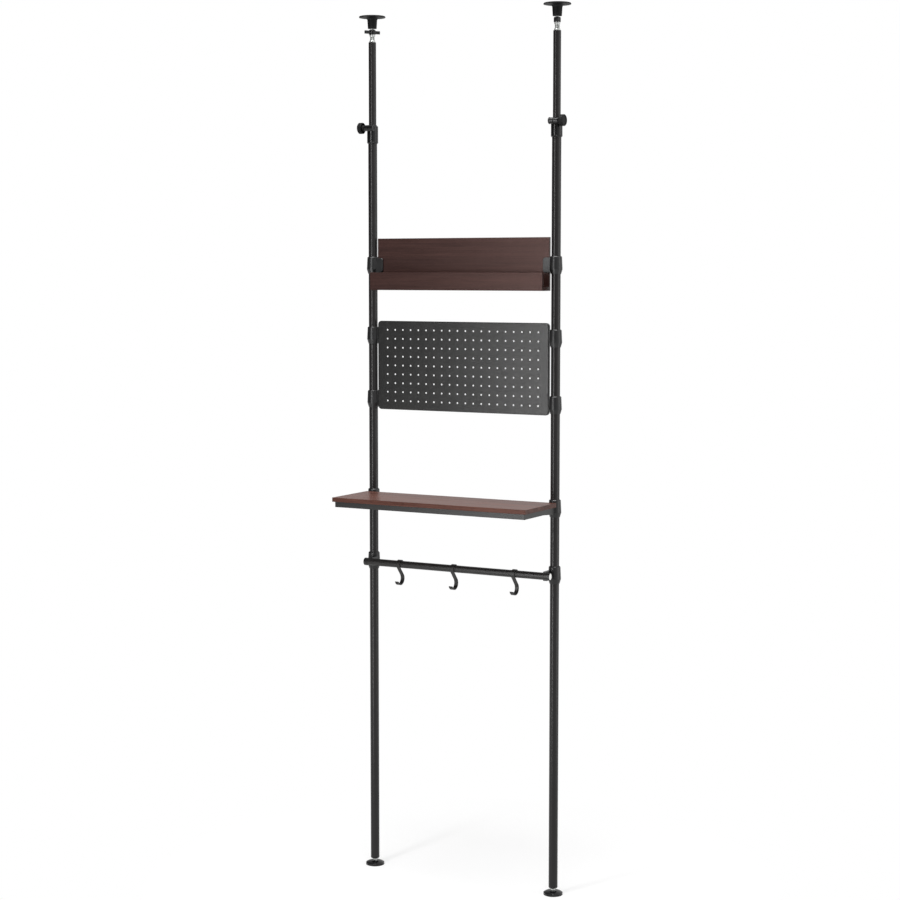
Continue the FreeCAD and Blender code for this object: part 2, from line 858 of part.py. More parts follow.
def shelf_arm(side):
    """Side arm of the frame: a box tube, deeper where it meets the collar."""
    back = -shelf_lug_reach
    deep = shelf_underside - shelf_arm_back_height
    corners = [
        (back, shelf_underside),
        (frame_front, shelf_underside),
        (frame_front, frame_bottom),
        (back - shelf_arm_taper_length, frame_bottom),
        (back, deep),
    ]
    points = [Vector(arm_inner, y, z) for y, z in corners + corners[:1]]
    arm = Part.Face(Part.makePolygon(points)).extrude(Vector(shelf_arm_width, 0, 0))
    wall = shelf_frame_wall
    inside = block(
        (arm_inner + wall, frame_front + wall, frame_bottom + wall),
        (arm_outer - wall, back, shelf_underside - wall))
    arm = arm.cut(inside)
    return arm if side == RIGHT else arm.mirror(Vector(0, 0, 0), Vector(1, 0, 0))


def shelf_collar():
    """Collar with a lug and a tenon that the side arm is pushed over."""
    low_x = arm_inner - half_spacing
    high_x = arm_outer - half_spacing
    slack = shelf_frame_wall + seat_gap
    lug = block(
        (low_x, -shelf_lug_reach, shelf_underside - shelf_arm_back_height),
        (high_x, 0, shelf_underside))
    tenon = block(
        (low_x + slack, -shelf_lug_reach - shelf_tenon_length, frame_bottom + slack),
        (high_x - slack, 0, shelf_underside - slack))
    return collar_with(shelf_collar_centre, [lug, tenon])


def shelf_screws():
    """Screws from below, their heads inside the rails, into the board."""
    length = shelf_frame_wall + shelf_screw_bite - screw_tip_margin
    screws = []
    for y in (front_rail_y, rear_rail_y):
        for sign in (LEFT, RIGHT):
            piece = screw(length).rotated(Vector(0, 0, 0), Vector(1, 0, 0), 180)
            screws.append(moved(piece, x=sign * shelf_screw_spacing / 2, y=y, z=shelf_screw_seat))
    return screws


# ---- Hanging rail ----
rail_radius = rail_diameter / 2
rail_end = half_spacing + rail_overhang


def on_rail(shape):
    """Place a shape made about Z on the rail's axis."""
    return moved(along_x(shape), y=-rail_forward, z=rail_height)


def hanging_rail():
    half = rail_end - rail_cap_end_wall
    return on_rail(tube(rail_radius, rail_radius - rail_wall, -half, half))


def rail_end_cap(side):
    """Cap over the end of the rail, open in its face for the disc."""
    bore = rail_radius + seat_gap
    window = rail_cap_window_diameter / 2
    outer = rail_cap_diameter / 2
    start = rail_end - rail_cap_length
    cap = on_rail(lathe([
        (bore, start),
        (outer - 0.4, start),
        (outer, start + 0.4),
        (outer, rail_end - 0.4),
        (outer - 0.4, rail_end),
        (window, rail_end),
        (window, rail_end - rail_cap_end_wall),
        (bore, rail_end - rail_cap_end_wall),
    ]))
    return cap if side == RIGHT else cap.mirror(Vector(0, 0, 0), Vector(1, 0, 0))


def rail_end_disc(side):
    """Metal disc in the cap's face, against the end of the rail."""
    start = rail_end - rail_cap_end_wall
    disc = on_rail(rod(rail_cap_window_diameter / 2 - seat_gap, start, start + rail_disc_thickness))
    return disc if side == RIGHT else disc.mirror(Vector(0, 0, 0), Vector(1, 0, 0))


def rail_collar():
    """Collar with a holder that cradles the back of the rail."""
    outer = rail_overhang - rail_cap_length - rail_holder_gap
    inner = outer - rail_holder_width
    holder = block(
        (inner, -rail_forward, rail_height - rail_holder_height / 2),
        (outer, 0, rail_height + rail_holder_height / 2))
    cradle = rod(rail_radius + seat_gap, inner, outer)
    return collar_with(rail_height, [holder], [on_rail(cradle)])


# ---- Hooks ----
def hook(place):
    """A flat bar bent into an S: over the rail, back under it, then round to an open front."""
    half = hook_thickness / 2
    upper = rail_radius + sliding_gap + half
    lower = hook_bend_radius
    over = (-rail_forward, rail_height)
    bottom = rail_height + upper + half - hook_overall_height
    under = (-rail_forward - hook_bend_forward, bottom + half + lower)

    def place_on(centre, reach, angle):
        """A point round a centre in the YZ plane; angles from +Y towards +Z."""
        turn = math.radians(angle)
        return Vector(0, centre[0] + reach * math.cos(turn), centre[1] + reach * math.sin(turn))

    def bend(centre, reach, start, end):
        points = [place_on(centre, reach, angle) for angle in (start, (start + end) / 2, end)]
        return Part.Arc(*points).toShape()

    down = math.degrees(math.atan2(under[1] - over[1], under[0] - over[0])) + 360
    apart = math.hypot(under[0] - over[0], under[1] - over[1])
    stem = down - math.degrees(math.acos((upper + lower) / apart))
    rear = -hook_rear_angle
    tip = hook_tip_angle - 180
    rear_round = place_on(over, upper, rear - math.degrees(half / upper))
    tip_round = place_on(under, lower, tip - math.degrees(half / lower))
    outline = Part.Wire([
        bend(over, upper + half, rear, stem),
        Part.LineSegment(
            place_on(over, upper + half, stem),
            place_on(under, lower - half, stem - 180)).toShape(),
        bend(under, lower - half, stem - 180, tip),
        Part.Arc(
            place_on(under, lower - half, tip), tip_round,
            place_on(under, lower + half, tip)).toShape(),
        bend(under, lower + half, tip, stem - 180),
        Part.LineSegment(
            place_on(under, lower + half, stem - 180),
            place_on(over, upper - half, stem)).toShape(),
        bend(over, upper - half, stem, rear),
        Part.Arc(
            place_on(over, upper - half, rear), rear_round,
            place_on(over, upper + half, rear)).toShape(),
    ])
    shape = Part.Face(outline).extrude(Vector(hook_width, 0, 0))
    sides = [
        edge for edge in shape.Edges
        if max(v.X for v in edge.Vertexes) - min(v.X for v in edge.Vertexes) < 0.001
    ]
    return moved(shape.makeChamfer(hook_edge_chamfer, sides), x=place - hook_width / 2)


# ---- Nodes ----
def build_poles():
    for name, side in SIDES.items():
        export(f"{name}_foot_rubber", on_side(foot_rubber(), side))
        export(f"{name}_foot_pad", on_side(foot_pad(), side))
        export(f"{name}_foot_stud", on_side(foot_stud(), side))
        export(f"{name}_pole_bottom_cap", on_side(pole_bottom_cap(), side))
        export(f"{name}_lower_pole", on_side(lower_pole(), side))
        export(f"{name}_guide_bush", on_side(guide_bush(), side))
        export(f"{name}_upper_pole", on_side(upper_pole(), side))
        export(f"{name}_pole_top_insert", on_side(pole_top_insert(), side))
        export(f"{name}_lock_collar", on_side(lock_collar(), side))
        export(f"{name}_lock_nut", on_side(lock_nut(), side))
        export(f"{name}_lock_bolt", on_side(lock_bolt(), side))
        export(f"{name}_lock_knob", on_side(lock_knob(), side))
        export(f"{name}_jack_screw", on_side(jack_screw(), side))
        handle = wing_handle(wing_angles[name])
        export(f"{name}_wing_handle", moved(handle, x=side * half_spacing))
        export(f"{name}_ceiling_pad", on_side(ceiling_pad(), side))
        export(f"{name}_ceiling_pad_sheet", on_side(ceiling_pad_sheet(), side))


def build_tray():
    export("tray_back_panel", tray_back_panel())
    export("tray_bottom_board", tray_bottom_board())
    export("tray_front_lip", tray_front_lip())
    for name, side in SIDES.items():
        export(f"tray_{name}_collar", on_side(tray_collar(), side))
    export("tray_screws", *tray_screws())


def build_pegboard():
    export("pegboard_panel", pegboard_panel())
    for level, height in pegboard_collar_heights.items():
        for name, side in SIDES.items():
            export(f"pegboard_{level}_{name}_collar", on_side(pegboard_collar(height), side))
    export("pegboard_screws", *pegboard_screws())


def build_shelf():
    export("shelf_board", shelf_board())
    export("shelf_front_rail", shelf_rail(front_rail_y))
    export("shelf_rear_rail", shelf_rail(rear_rail_y))
    for name, side in SIDES.items():
        export(f"shelf_{name}_arm", shelf_arm(side))
        export(f"shelf_{name}_collar", on_side(shelf_collar(), side))
    export("shelf_screws", *shelf_screws())


def build_hanging_rail():
    export("hanging_rail", hanging_rail())
    for name, side in SIDES.items():
        export(f"rail_{name}_collar", on_side(rail_collar(), side))
    export("rail_end_caps", rail_end_cap(LEFT), rail_end_cap(RIGHT))
    export("rail_end_discs", rail_end_disc(LEFT), rail_end_disc(RIGHT))
    for name, place in hook_places.items():
        export(f"{name}_hook", hook(place))


os.makedirs("parts", exist_ok=True)
build_poles()
build_tray()
build_pegboard()
build_shelf()
build_hanging_rail()
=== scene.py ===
"""Looks of the tension pole shelf unit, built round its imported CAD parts.

Lengths are in metres, in the frame of the CAD: +X to the user's right, -Y towards the user, +Z up.
"""

import json
import math

import bmesh
import bpy
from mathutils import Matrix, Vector

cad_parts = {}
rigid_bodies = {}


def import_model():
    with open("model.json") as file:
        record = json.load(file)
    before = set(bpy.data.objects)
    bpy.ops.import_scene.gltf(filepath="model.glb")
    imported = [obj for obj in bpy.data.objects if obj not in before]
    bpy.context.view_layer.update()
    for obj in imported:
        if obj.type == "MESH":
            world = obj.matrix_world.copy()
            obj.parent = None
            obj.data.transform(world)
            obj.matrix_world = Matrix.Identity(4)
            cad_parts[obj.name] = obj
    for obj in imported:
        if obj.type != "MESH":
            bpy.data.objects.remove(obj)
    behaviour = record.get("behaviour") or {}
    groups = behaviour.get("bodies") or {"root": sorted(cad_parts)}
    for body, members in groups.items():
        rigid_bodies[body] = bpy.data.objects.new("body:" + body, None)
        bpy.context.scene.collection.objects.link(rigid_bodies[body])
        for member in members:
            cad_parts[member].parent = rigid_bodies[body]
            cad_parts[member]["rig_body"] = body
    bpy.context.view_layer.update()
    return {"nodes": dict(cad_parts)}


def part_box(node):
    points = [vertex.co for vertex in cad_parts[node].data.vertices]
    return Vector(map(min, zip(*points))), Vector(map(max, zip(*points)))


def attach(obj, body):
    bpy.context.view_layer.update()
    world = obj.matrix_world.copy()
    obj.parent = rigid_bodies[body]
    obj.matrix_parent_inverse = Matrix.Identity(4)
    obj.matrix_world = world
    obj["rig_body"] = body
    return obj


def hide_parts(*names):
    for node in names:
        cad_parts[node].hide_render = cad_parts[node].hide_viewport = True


MM = 0.001
SIDES = ("left", "right")

# ---- Camera: right of the unit, above its middle height and looking slightly down ----
CAMERA_PLACE = (2.6104, -4.7633, 1.7185)
CAMERA_YAW = 29.08      # degrees, the view turned to the left of +Y
CAMERA_PITCH = 5.23     # degrees, down
CAMERA_LENS = 78.44     # mm
CAMERA_SENSOR = 36.0    # mm
CAMERA_REACH = 100.0    # nothing farther away is shown

# ---- Area lights: name, place, target, size and power in watts ----
AREA_LIGHTS = (
    ("left_softbox", (-0.46, -1.9, 1.3), (0.0, 0.0, 1.3), (0.28, 2.6), 27.0),
    ("right_strip", (2.3, 0.36, 1.3), (0.0, 0.0, 1.3), (0.8, 2.6), 14.0),
    ("overhead", (0.2, -0.9, 4.2), (0.0, 0.0, 0.6), (2.0, 2.0), 145.0),
)

# ---- Studio; a level of 1 is white ----
WHITE = (1.0, 1.0, 1.0, 1.0)
WORLD_FILL = 0.45       # what lights matt surfaces
DARK_SIDE = 0.08        # what gloss shows of the studio's darkest side, front left
WHITE_SIDE = (0.80, 0.60, 0.0)  # where gloss shows the white backdrop, behind to the right
DARK_BELOW = -0.75      # the studio fades between these cosines of the angle to the white side
WHITE_ABOVE = 0.75

# ---- Floor ----
FLOOR_HALF_WIDTH = 9.0
FLOOR_TONE = (0.9, 0.9, 0.9)
FLOOR_GLOW = 0.6        # share of the floor's white that no shadow dims, below the unit
SHADOW_FADES_FROM = 0.35        # distances from the middle
SHADOW_ENDS_AT = 0.9

# ---- Materials ----
NOISE_RANGE = (0.3, 0.7)        # where most of a noise texture's values lie
BEVEL_SAMPLES = 4
COAT_EDGE = 0.4 * MM            # radii of the edges that soft_edges rounds
FRAME_EDGE = 0.8 * MM
PLASTIC_EDGE = 0.6 * MM
WOOD_EDGE = 0.8 * MM
TURNED_LINES = (1.0, 1.0, 14.0)         # stretch of the lines that a lathe leaves
WOOD_FIGURE = (1.3, 48.0, 48.0)         # noise cells a metre: along X, and across it twice
WOOD_STREAKS = (7.0, 420.0, 420.0)
WOOD_PORES = (60.0, 1500.0, 1500.0)
VARNISH_TINT = (1.0, 0.67, 0.62)        # colour of the gloss on the stained wood

# ---- New meshes ----
SHARP_ANGLE = 35.0      # degrees; flatter edges are shaded smooth
LATHE_SIDES = 96
SMALL_CHAMFER = 0.4 * MM

# ---- Threads ----
THREAD_DEPTH = 0.61     # share of the pitch
THREAD_FLAT = 0.12      # share of half a pitch that is flat at the root, and at the crest
THREAD_SIDES = 40
THREAD_STEPS = 10       # rings in one pitch

# ---- Ceiling jacks ----
JACK_PITCH = 2.0 * MM
JACK_RADIUS = 7.0 * MM
JACK_FLANGE_RADIUS = 7.75 * MM
JACK_FLANGE_HEIGHT = 5.0 * MM
JACK_CONE_HEIGHT = 1.5 * MM
JACK_SPINDLE_RADIUS = 4.25 * MM

# ---- Levelling studs ----
STUD_PITCH = 1.25 * MM
STUD_RADIUS = 4.0 * MM
STUD_FLANGE_RADIUS = 6.0 * MM
STUD_FLANGE_HEIGHT = 2.0 * MM
HEX_APOTHEM = 6.5 * MM
HEX_ABOVE_FLOOR = 12.3 * MM
HEX_HEIGHT = 5.0 * MM
HEX_STEPS = 72          # points round the hexagon, a multiple of 6
HEX_CHAMFER = 0.6       # height of the turned-off corners over their reach

# ---- Rubber soles and sheets ----
GROOVE_PITCH = 4.0 * MM
GROOVE_DEPTH = 0.7 * MM
GROOVE_HALF_MOUTH = 0.5 * MM
GROOVE_HALF_BOTTOM = 0.3 * MM
DISC_CENTRE = 0.5 * MM          # radius of the flat face that closes a disc in its middle
DISC_ROUND = 0.8 * MM           # radius of the rim's rounding
DISC_ROUND_STEP = 0.2 * MM      # how far the rounding's middle point lies from both faces

# ---- Perforated board ----
PEG_COLUMNS = 20
PEG_ROWS = 9
PEG_PITCH = 25.0 * MM
PEG_RADIUS = 2.5 * MM
PEG_ROLL = 0.35 * MM            # rolled edge that the punch leaves
PEG_ROLL_MIDDLE = 0.3           # share of the roll that its middle point is drawn in
PEG_HOLE_SIDES = 24
SHEET = 1.5 * MM
BOARD_CORNER = 10.0 * MM
BOARD_CORNER_STEPS = 8
BOARD_BEND = 2.4 * MM           # outer radius of the folded edge
BOARD_BEND_STEPS = 6

# ---- Screws ----
SCREW_SLOT = "pole_paint"
SCREW_SIDES = 40
SCREW_HEAD_RADIUS = 3.5 * MM
SCREW_HEAD_HEIGHT = 2.2 * MM
SCREW_RIM = 0.35                # share of the head's height that is straight
SCREW_CROWN = 0.55              # share of the head's radius that the crown draws in
SCREW_CROWN_STEPS = 6
SCREW_SHANK_RADIUS = 2.0 * MM
RECESS_LENGTH = 3.8 * MM
RECESS_WIDTH = 0.9 * MM
RECESS_DEPTH = 1.3 * MM
RECESS_BOTTOM = 0.45            # share of the recess's length at its bottom
RECESS_TOP = 1.1                # and at the top of the tool that cuts it
RECESS_TOOL_ABOVE = 1.0 * MM    # how far the tool stands over the head

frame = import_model()


# ---- Shader nodes ----
def add(tree, kind, inputs=None, **settings):
    """Add a shader node; inputs are values, or sockets to link."""
    node = tree.nodes.new(kind)
    for key, value in settings.items():
        setattr(node, key, value)
    for key, value in (inputs or {}).items():
        if isinstance(value, bpy.types.NodeSocket):
            tree.links.new(value, node.inputs[key])
        else:
            node.inputs[key].default_value = value
    return node


def link(tree, shader, sockets):
    """Link sockets to the shader's inputs of these names."""
    for key, socket in sockets.items():
        tree.links.new(socket, shader.inputs[key])


def colour(rgb):
    return (*rgb, 1.0)


def place(tree, scale=(1.0, 1.0, 1.0)):
    """The object's own coordinates in metres, stretched per axis."""
    source = add(tree, "ShaderNodeTexCoord")
    mapping = add(tree, "ShaderNodeMapping", {
        "Vector": source.outputs["Object"], "Scale": scale})
    return mapping.outputs["Vector"]


def noise(tree, vector, scale, detail=3.0, roughness=0.55, distortion=0.0):
    node = add(tree, "ShaderNodeTexNoise", {
        "Vector": vector,
        "Scale": scale,
        "Detail": detail,
        "Roughness": roughness,
        "Distortion": distortion,
    })
    return node.outputs["Fac"]


def ramp(tree, value, low, high):
    """A colour ramp between two stops, each a (position, rgb)."""
    node = add(tree, "ShaderNodeValToRGB", {"Fac": value})
    for element, (position, rgb) in zip(node.color_ramp.elements, (low, high)):
        element.position = position
        element.color = colour(rgb)
    return node.outputs["Color"]


def mottle(tree, value, base, share, low, high):
    """A colour that a noise value, from low to high, varies by a share either way."""
    darker = [(1 - share) * part for part in base]
    lighter = [(1 + share) * part for part in base]
    return ramp(tree, value, (low, darker), (high, lighter))


def spread(tree, value, middle, less, more):
    """A number that a noise value varies round a middle."""
    node = add(tree, "ShaderNodeMapRange", {
        "Value": value,
        "From Min": NOISE_RANGE[0],
        "From Max": NOISE_RANGE[1],
        "To Min": middle - less,
        "To Max": middle + more,
    })
    return node.outputs["Result"]


def multiply(tree, first, second, share):
    """A colour multiplied by a share of another."""
    node = add(tree, "ShaderNodeMix", {
        "Factor": share, "A": first, "B": second}, data_type="RGBA", blend_type="MULTIPLY")
    return node.outputs["Result"]


def larger(tree, first, second):
    node = add(tree, "ShaderNodeMath", {0: first, 1: second}, operation="MAXIMUM")
    return node.outputs["Value"]


def bump(tree, height, depth, normal=None):
    inputs = {"Height": height, "Distance": depth}
    if normal is not None:
        inputs["Normal"] = normal
    return add(tree, "ShaderNodeBump", inputs).outputs["Normal"]


def soft_edges(tree, radius):
    """Normals that turn softly over the sharp edges of a node."""
    node = add(tree, "ShaderNodeBevel", {"Radius": radius}, samples=BEVEL_SAMPLES)
    return node.outputs["Normal"]


# ---- Materials, kept by name ----
MATERIALS = {}


def new_material(name, roughness, specular, metallic=0.0):
    """Keep a new material with a Principled shader; returns its tree and shader."""
    material = bpy.data.materials.new(name)
    material.use_nodes = True
    tree = material.node_tree
    tree.nodes.clear()
    shader = add(tree, "ShaderNodeBsdfPrincipled", {
        "Roughness": roughness,
        "Specular IOR Level": specular,
        "Metallic": metallic,
    })
    add(tree, "ShaderNodeOutputMaterial", {"Surface": shader.outputs["BSDF"]})
    MATERIALS[name] = material
    return tree, shader


def powder_coat(name, base, roughness, specular, grain, depth, edge=COAT_EDGE):
    """Dark coat with orange peel: faint mottling, fine bumps and uneven gloss."""
    tree, shader = new_material(name, roughness, specular)
    where = place(tree)
    cloud = noise(tree, where, scale=35.0)
    peel = noise(tree, where, scale=grain, detail=2.0)
    link(tree, shader, {
        "Base Color": mottle(tree, cloud, base, share=0.12, low=0.25, high=0.75),
        "Roughness": spread(tree, cloud, roughness, less=0.015, more=0.015),
        "Normal": bump(tree, peel, depth, normal=soft_edges(tree, edge)),
    })


def moulded_plastic(name, base, roughness, specular, grain, depth):
    """Plastic from a mould: a fine leather-like skin and slight sink marks."""
    tree, shader = new_material(name, roughness, specular)
    where = place(tree)
    skin = add(tree, "ShaderNodeTexVoronoi", {"Vector": where, "Scale": grain})
    sink = noise(tree, where, scale=60.0)
    edges = soft_edges(tree, PLASTIC_EDGE)
    link(tree, shader, {
        "Base Color": mottle(tree, sink, base, share=0.15, low=0.3, high=0.7),
        "Roughness": spread(tree, sink, roughness, less=0.03, more=0.04),
        "Normal": bump(tree, skin.outputs["Distance"], depth, normal=edges),
    })


def rubber(name, dark, light, roughness, specular):
    """Matt rubber: fine specks and a slight cloudiness."""
    tree, shader = new_material(name, roughness, specular)
    where = place(tree)
    speck = noise(tree, where, scale=900.0, detail=4.0)
    cloud = noise(tree, where, scale=50.0)
    link(tree, shader, {
        "Base Color": ramp(tree, cloud, (0.3, dark), (0.7, light)),
        "Normal": bump(tree, speck, depth=0.1 * MM),
    })


def plated_steel(name, dark, light, roughness):
    """Plated steel: fine turned lines and a slight cloudiness."""
    tree, shader = new_material(name, roughness, specular=0.5, metallic=1.0)
    cloud = noise(tree, place(tree), scale=250.0, detail=4.0)
    turned = noise(tree, place(tree, TURNED_LINES), scale=400.0)
    link(tree, shader, {
        "Base Color": ramp(tree, cloud, (0.25, dark), (0.75, light)),
        "Roughness": spread(tree, cloud, roughness, less=0.06, more=0.07),
        "Normal": bump(tree, turned, depth=0.03 * MM),
    })


def wood(name, dark, light, roughness, specular):
    """Stained wood with the grain along X: broad figure, fine streaks and short pores."""
    tree, shader = new_material(name, roughness, specular)
    shader.inputs["Specular Tint"].default_value = colour(VARNISH_TINT)
    figure = noise(tree, place(tree, WOOD_FIGURE), scale=1.0, detail=4.0, distortion=0.6)
    streak = noise(tree, place(tree, WOOD_STREAKS), scale=1.0, roughness=0.7)
    pores = noise(tree, place(tree, WOOD_PORES), scale=1.0, detail=1.0)
    broad = ramp(tree, figure, (0.3, dark), (0.7, light))
    fine = ramp(tree, streak, (0.35, (0.72, 0.70, 0.70)), (0.65, (1.18, 1.16, 1.14)))
    pits = ramp(tree, pores, (0.36, (0.45, 0.42, 0.42)), (0.46, (1.0, 1.0, 1.0)))
    lined = multiply(tree, broad, fine, share=1.0)
    relief = bump(tree, streak, depth=0.08 * MM, normal=soft_edges(tree, WOOD_EDGE))
    link(tree, shader, {
        "Base Color": multiply(tree, lined, pits, share=0.6),
        "Roughness": spread(tree, streak, roughness, less=0.07, more=0.09),
        "Normal": bump(tree, pores, depth=0.05 * MM, normal=relief),
    })


powder_coat("pole_paint", (0.007, 0.006, 0.0061), roughness=0.31, specular=0.34,
            grain=900.0, depth=0.01 * MM)
moulded_plastic("collar_plastic", (0.007, 0.007, 0.0073), roughness=0.35, specular=0.42,
                grain=1400.0, depth=0.02 * MM)
moulded_plastic("lock_plastic", (0.003, 0.003, 0.0033), roughness=0.24, specular=0.36,
                grain=1400.0, depth=0.008 * MM)
moulded_plastic("foot_plastic", (0.0035, 0.0035, 0.004), roughness=0.18, specular=0.36,
                grain=1000.0, depth=0.02 * MM)
moulded_plastic("pad_plastic", (0.004, 0.004, 0.0042), roughness=0.55, specular=0.15,
                grain=1000.0, depth=0.03 * MM)
rubber("foot_rubber", (0.012, 0.012, 0.012), (0.022, 0.021, 0.021), roughness=0.8, specular=0.3)
plated_steel("bright_steel", (0.38, 0.39, 0.38), (0.54, 0.55, 0.54), roughness=0.42)
plated_steel("polished_steel", (0.86, 0.86, 0.84), (0.96, 0.96, 0.94), roughness=0.16)
plated_steel("black_steel", (0.022, 0.022, 0.024), (0.035, 0.035, 0.037), roughness=0.36)
wood("dark_wood", (0.016, 0.0068, 0.006), (0.031, 0.0138, 0.0115), roughness=0.36, specular=0.39)
wood("shelf_wood", (0.049, 0.020, 0.015), (0.128, 0.056, 0.042), roughness=0.34, specular=0.16)
powder_coat("frame_paint", (0.011, 0.010, 0.0095), roughness=0.38, specular=0.42,
            grain=1300.0, depth=0.005 * MM, edge=FRAME_EDGE)
powder_coat("pegboard_paint", (0.006, 0.006, 0.0058), roughness=0.32, specular=0.46,
            grain=1600.0, depth=0.1 * MM)

# Nodes whose material is not the one of their slot.
OWN_MATERIALS = {
    "rail_end_discs": "polished_steel",
    "left_lock_collar": "lock_plastic",
    "right_lock_collar": "lock_plastic",
    "left_lock_knob": "pad_plastic",
    "right_lock_knob": "pad_plastic",
    "left_ceiling_pad": "pad_plastic",
    "right_ceiling_pad": "pad_plastic",
}


def slot_of(node):
    """The record's slot that a CAD node was packed with."""
    return node.data.materials[0].name.split(".")[0]


def dress_cad_nodes():
    for name, node in frame["nodes"].items():
        material = MATERIALS[OWN_MATERIALS.get(name) or slot_of(node)]
        for material_slot in node.material_slots:
            material_slot.material = material


# ---- Mesh helpers ----
def finish_piece(name, mesh, slot, node):
    """Turn a bmesh into a piece that stands for a CAD node."""
    data = bpy.data.meshes.new(name)
    mesh.to_mesh(data)
    mesh.free()
    for polygon in data.polygons:
        polygon.use_smooth = True
    data.set_sharp_from_angle(angle=math.radians(SHARP_ANGLE))
    data.materials.append(MATERIALS[slot])
    piece = bpy.data.objects.new(name, data)
    bpy.context.scene.collection.objects.link(piece)
    weighted = piece.modifiers.new("weighted_normals", "WEIGHTED_NORMAL")
    weighted.keep_sharp = True
    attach(piece, frame["nodes"][node]["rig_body"])
    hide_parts(node)


def polar(centre, radius, turn):
    """The point at a radius and an angle round a centre."""
    return (centre[0] + radius * math.cos(turn), centre[1] + radius * math.sin(turn))


def circle(centre, radius, sides):
    return [polar(centre, radius, 2 * math.pi * step / sides) for step in range(sides)]


def ring(mesh, centre, radius, height, sides):
    """Vertices round a vertical axis."""
    return [mesh.verts.new((x, y, height)) for x, y in circle(centre, radius, sides)]


def bridge(mesh, lower, upper):
    """Quads between two rings of the same count."""
    count = len(lower)
    for step in range(count):
        after = (step + 1) % count
        mesh.faces.new((lower[step], lower[after], upper[after], upper[step]))


def join_rings(mesh, rings):
    """Skin a stack of rings and close it at both ends."""
    for lower, upper in zip(rings, rings[1:]):
        bridge(mesh, lower, upper)
    mesh.faces.new(list(reversed(rings[0])))
    mesh.faces.new(rings[-1])


def lathe(mesh, centre, profile, sides):
    """Turn a profile of (radius, height) points into a closed body."""
    join_rings(mesh, [ring(mesh, centre, radius, height, sides) for radius, height in profile])


def pole_centre(side):
    """Where a pole's axis meets the floor."""
    low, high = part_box(f"{side}_lower_pole")
    middle = (low + high) / 2
    return (middle.x, middle.y)


# ---- Threaded pieces ----
def thread_rings(mesh, centre, crest, pitch, low, high):
    """Rings of a right-hand thread that runs out at both ends."""
    depth = THREAD_DEPTH * pitch
    steps = round((high - low) / pitch * THREAD_STEPS)
    rings = []
    for step in range(steps + 1):
        height = low + (high - low) * step / steps
        run_out = min(1.0, (height - low) / pitch, (high - height) / pitch)
        vertices = []
        for side in range(THREAD_SIDES):
            turn = side / THREAD_SIDES
            phase = (height / pitch - turn) % 1.0
            tooth = (abs(2 * phase - 1) - THREAD_FLAT) / (1 - 2 * THREAD_FLAT)
            tooth = min(1.0, max(0.0, tooth))
            radius = crest - depth * (1 - tooth * run_out)
            spot = polar(centre, radius, 2 * math.pi * turn)
            vertices.append(mesh.verts.new((*spot, height)))
        rings.append(vertices)
    return rings


def make_jack_screw(side):
    """A thread up to a flange, which the wing handle sits on, and a smooth spindle above it."""
    node = f"{side}_jack_screw"
    centre = pole_centre(side)
    low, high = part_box(node)
    flange_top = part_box(f"{side}_wing_handle")[0].z
    flange_low = flange_top - JACK_FLANGE_HEIGHT
    thread_top = flange_low - JACK_CONE_HEIGHT
    profile = [
        (JACK_RADIUS, thread_top),
        (JACK_FLANGE_RADIUS - SMALL_CHAMFER, flange_low),
        (JACK_FLANGE_RADIUS, flange_low + SMALL_CHAMFER),
        (JACK_FLANGE_RADIUS, flange_top - SMALL_CHAMFER),
        (JACK_FLANGE_RADIUS - SMALL_CHAMFER, flange_top),
        (JACK_SPINDLE_RADIUS, flange_top),
        (JACK_SPINDLE_RADIUS, high.z - SMALL_CHAMFER),
        (JACK_SPINDLE_RADIUS - SMALL_CHAMFER, high.z),
    ]
    mesh = bmesh.new()
    rings = thread_rings(mesh, centre, JACK_RADIUS, JACK_PITCH, low.z, thread_top)
    rings += [ring(mesh, centre, radius, z, THREAD_SIDES) for radius, z in profile]
    join_rings(mesh, rings)
    finish_piece(f"{node}_threaded", mesh, "bright_steel", node)


def hexagon_rings(mesh, centre, low, high):
    """Rings of a hexagon whose corners are turned off at both ends."""
    reach = HEX_APOTHEM / math.cos(math.pi / 6) - HEX_APOTHEM
    chamfer = HEX_CHAMFER * reach
    heights = [(low + share * chamfer, share) for share in (0.0, 0.5, 1.0)]
    heights += [(high - share * chamfer, share) for share in (1.0, 0.5, 0.0)]
    rings = []
    for height, share in heights:
        vertices = []
        for step in range(HEX_STEPS):
            turn = 2 * math.pi * step / HEX_STEPS
            flat = HEX_APOTHEM / math.cos((turn % (math.pi / 3)) - math.pi / 6)
            radius = min(flat, HEX_APOTHEM + share * reach)
            vertices.append(mesh.verts.new((*polar(centre, radius, turn), height)))
        rings.append(vertices)
    return rings


def make_foot_stud(side):
    """A flange in the foot, a hexagon over it, and a thread up into the pole's cap."""
    node = f"{side}_foot_stud"
    centre = pole_centre(side)
    low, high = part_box(node)
    flange_top = low.z + STUD_FLANGE_HEIGHT
    hex_high = HEX_ABOVE_FLOOR + HEX_HEIGHT
    profile = [
        (STUD_FLANGE_RADIUS, low.z),
        (STUD_FLANGE_RADIUS, flange_top),
        (STUD_RADIUS, flange_top),
        (STUD_RADIUS, hex_high),
    ]
    mesh = bmesh.new()
    rings = [ring(mesh, centre, radius, z, THREAD_SIDES) for radius, z in profile]
    rings += thread_rings(mesh, centre, STUD_RADIUS, STUD_PITCH, hex_high, high.z)
    join_rings(mesh, rings)
    join_rings(mesh, hexagon_rings(mesh, centre, HEX_ABOVE_FLOOR, hex_high))
    finish_piece(f"{node}_threaded", mesh, "bright_steel", node)


